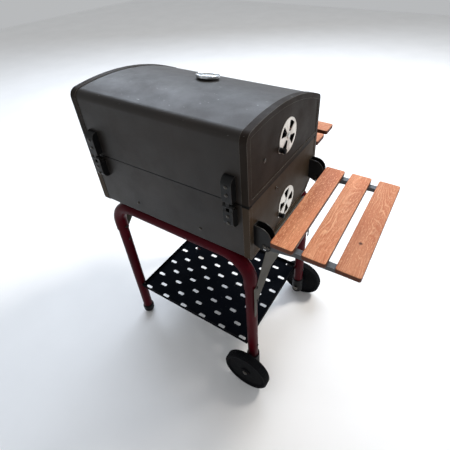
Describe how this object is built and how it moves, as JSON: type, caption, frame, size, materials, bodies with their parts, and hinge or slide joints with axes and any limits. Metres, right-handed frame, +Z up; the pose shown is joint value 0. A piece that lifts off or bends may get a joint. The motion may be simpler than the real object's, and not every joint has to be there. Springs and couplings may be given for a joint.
{
  "type": "charcoal barrel grill",
  "caption": "Charcoal barrel grill on a wheeled tube frame, with a hinged arched lid, air vents, slatted side and front shelves and a perforated bottom shelf.",
  "frame": {"origin": "on the floor, under the middle of the whole object's bounding box", "axes": "+X towards the plain end with the feet, +Y towards the rear with the lid hinges, +Z up; the side shelf and the wheels are at -X and the front shelf at -Y"},
  "size_m": [0.87, 0.6374, 1.04],
  "materials": {
    "body_paint": "matt heat-proof paint, lightly textured",
    "black_paint": "satin paint",
    "maroon_paint": "semi-gloss paint",
    "slat_wood": "stained, satin varnish",
    "stainless": "brushed",
    "chrome": "polished",
    "gauge_glass": "clear",
    "dial_face": "matt",
    "needle_paint": "satin",
    "black_plastic": "moulded, matt",
    "grate_iron": "seasoned",
    "galvanised": "dull zinc"
  },
  "bodies": {
    "frame_and_base": {"axle_bolts": "stainless", "base_cap_plain_end": "body_paint", "base_cap_vent_end": "body_paint", "base_hinge_leaf_left": "black_paint", "base_hinge_leaf_right": "black_paint", "base_vent_rivet": "stainless", "base_wall_bolts": "stainless", "base_wrap": "body_paint", "bottom_shelf": "black_paint", "charcoal_grate_rests": "galvanised", "end_brace_plain_end": "body_paint", "end_brace_vent_end": "body_paint", "foot_caps": "black_plastic", "frame_bolts": "black_paint", "frame_tube_front": "maroon_paint", "frame_tube_rear": "maroon_paint", "front_shelf_brackets": "black_paint", "front_shelf_screws": "stainless", "front_shelf_slat_inner": "slat_wood", "front_shelf_slat_outer": "slat_wood", "grate_ledges": "galvanised", "hinge_pins": "stainless", "leg_boots": "black_plastic", "plain_end_legs": "maroon_paint", "side_shelf_brackets": "black_paint", "side_shelf_pivot_bolts": "stainless", "wheel_end_legs": "maroon_paint"},
    "lid": {"lid_wrap": "body_paint", "lid_cap_vent_end": "body_paint", "lid_cap_plain_end": "body_paint", "lid_hinge_leaf_left": "black_paint", "lid_hinge_leaf_right": "black_paint", "lid_hinge_bolts": "stainless", "lid_handle_grip": "slat_wood", "lid_handle_posts": "stainless", "thermometer_bezel": "chrome", "thermometer_dial": "dial_face", "thermometer_glass": "gauge_glass", "thermometer_stem": "stainless", "lid_vent_rivet": "stainless", "warming_rack_bolts": "stainless"},
    "pointer": {"thermometer_needle": "needle_paint"},
    "lid_vent": {"lid_vent_disc": "stainless", "lid_vent_knob": "black_plastic"},
    "base_vent": {"base_vent_disc": "stainless", "base_vent_knob": "black_plastic"},
    "hanging_rack": {"warming_rack": "chrome"},
    "left_grate": {"cooking_grate_left": "grate_iron"},
    "right_grate": {"cooking_grate_right": "grate_iron"},
    "coal_grate": {"charcoal_grate": "grate_iron"},
    "ash_tray": {"ash_pan": "galvanised"},
    "side_shelf": {"side_shelf_arm_rear": "black_paint", "side_shelf_arm_front": "black_paint", "side_shelf_slat_inner": "slat_wood", "side_shelf_slat_middle": "slat_wood", "side_shelf_slat_outer": "slat_wood", "side_shelf_fasteners": "stainless"},
    "rear_wheel": {"wheel_rear": "black_plastic"},
    "front_wheel": {"wheel_front": "black_plastic"}
  },
  "joints": [
    {"name": "lid_hinge", "type": "hinge", "parent": "frame_and_base", "child": "lid", "pos_m": [0.137, 0.28325, 0.828], "axis": [-1, 0, 0], "range_deg": [0, 92]},
    {"name": "lid_vent_turn", "type": "hinge", "parent": "lid", "child": "lid_vent", "pos_m": [-0.149, 0.06325, 0.929], "axis": [1, 0, 0], "range_deg": [0, 45]},
    {"name": "base_vent_turn", "type": "hinge", "parent": "frame_and_base", "child": "base_vent", "pos_m": [-0.149, 0.05725, 0.705], "axis": [1, 0, 0], "range_deg": [0, 45]},
    {"name": "pointer_turn", "type": "hinge", "parent": "lid", "child": "pointer", "pos_m": [0.137, 0.01425, 1.022], "axis": [0, -0.1935, 0.9811], "range_deg": [-270, 0]},
    {"name": "warming_rack_swing", "type": "hinge", "parent": "lid", "child": "hanging_rack", "pos_m": [0.137, 0.19125, 0.922], "axis": [1, 0, 0], "range_deg": [0, 92]},
    {"name": "left_grate_lift", "type": "slide", "parent": "frame_and_base", "child": "left_grate", "axis": [0, 0, 1], "range_m": [0, 0.04]},
    {"name": "right_grate_lift", "type": "slide", "parent": "frame_and_base", "child": "right_grate", "axis": [0, 0, 1], "range_m": [0, 0.04]},
    {"name": "coal_grate_lift", "type": "slide", "parent": "frame_and_base", "child": "coal_grate", "axis": [0, 0, 1], "range_m": [0, 0.06]},
    {"name": "ash_tray_lift", "type": "slide", "parent": "frame_and_base", "child": "ash_tray", "axis": [0, 0, 1], "range_m": [0, 0.02]},
    {"name": "side_shelf_fold", "type": "hinge", "parent": "frame_and_base", "child": "side_shelf", "pos_m": [-0.18, 0.05725, 0.698], "axis": [0, -1, 0], "range_deg": [0, 90]},
    {"name": "rear_wheel_spin", "type": "hinge", "parent": "frame_and_base", "child": "rear_wheel", "pos_m": [-0.135, 0.29825, 0.086], "axis": [0, 1, 0], "continuous": true},
    {"name": "front_wheel_spin", "type": "hinge", "parent": "frame_and_base", "child": "front_wheel", "pos_m": [-0.135, -0.18375, 0.086], "axis": [0, 1, 0], "continuous": true}
  ],
  "couplings": [
    {"joint": "warming_rack_swing", "follows": "lid_hinge", "ratio": 1}
  ]
}
